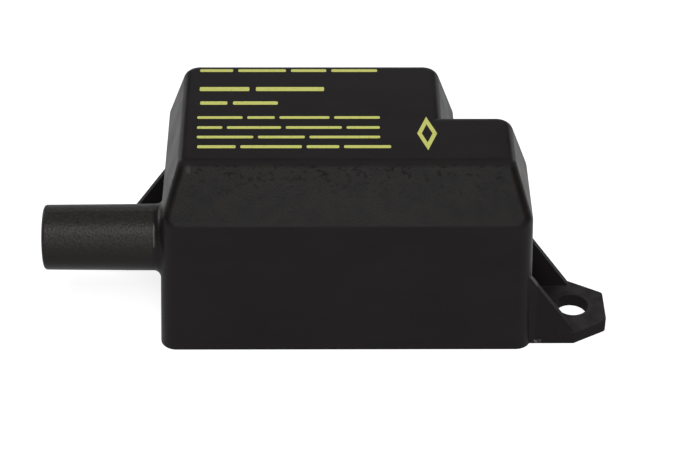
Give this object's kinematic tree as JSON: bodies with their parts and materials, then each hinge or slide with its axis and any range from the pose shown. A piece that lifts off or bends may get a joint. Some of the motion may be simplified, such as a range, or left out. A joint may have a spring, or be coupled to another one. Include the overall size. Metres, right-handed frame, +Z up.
{
  "type": "ignition transformer",
  "caption": "Potted ignition transformer in a bevelled housing with screw ears, a high-voltage output socket and a mains inlet.",
  "frame": {"origin": "middle between the two screw holes, on the plane that the housing stands on", "axes": "+Z up out of the base; +X along the housing, away from the output socket; -Y is the sloped front"},
  "size_m": [0.1205, 0.0467, 0.0435],
  "materials": {
    "housing": "satin moulded glass-filled nylon, black, fine grain on the slope",
    "potting": "cast polyurethane resin, near black, slightly glossy",
    "board": "glass-epoxy laminate",
    "nylon": "moulded nylon",
    "brass": "stamped or turned brass",
    "ferrite": "sintered ferrite",
    "spacer": "pressboard",
    "bobbin": "moulded bobbin",
    "copper": "enamelled copper wire",
    "tinned": "tinned copper wire",
    "film_capacitor": "resin-filled box",
    "suppressor": "resin-filled box",
    "semiconductor": "moulded epoxy",
    "fuse": "moulded cap",
    "varistor": "dipped epoxy",
    "print": "pad-printed ink, dull yellow",
    "resistor": "lacquered"
  },
  "bodies": {
    "root": {"housing": "housing", "potting_resin": "potting", "circuit_board": "board", "inlet_header": "nylon", "earth_blade": "brass", "neutral_blade": "brass", "live_blade": "brass", "output_contact": "brass", "core_rear": "ferrite", "core_front": "ferrite", "core_spacers": "spacer", "primary_bobbin": "bobbin", "secondary_bobbin": "bobbin", "primary_winding": "copper", "secondary_winding": "copper", "output_lead": "tinned", "return_lead": "tinned", "primary_leads": "tinned", "storage_capacitor": "film_capacitor", "suppression_capacitor": "suppressor", "thyristor": "semiconductor", "rectifier_diodes": "semiconductor", "trigger_diode": "semiconductor", "fuse": "fuse", "varistor": "varistor", "charging_resistor": "resistor"}
  },
  "joints": []
}
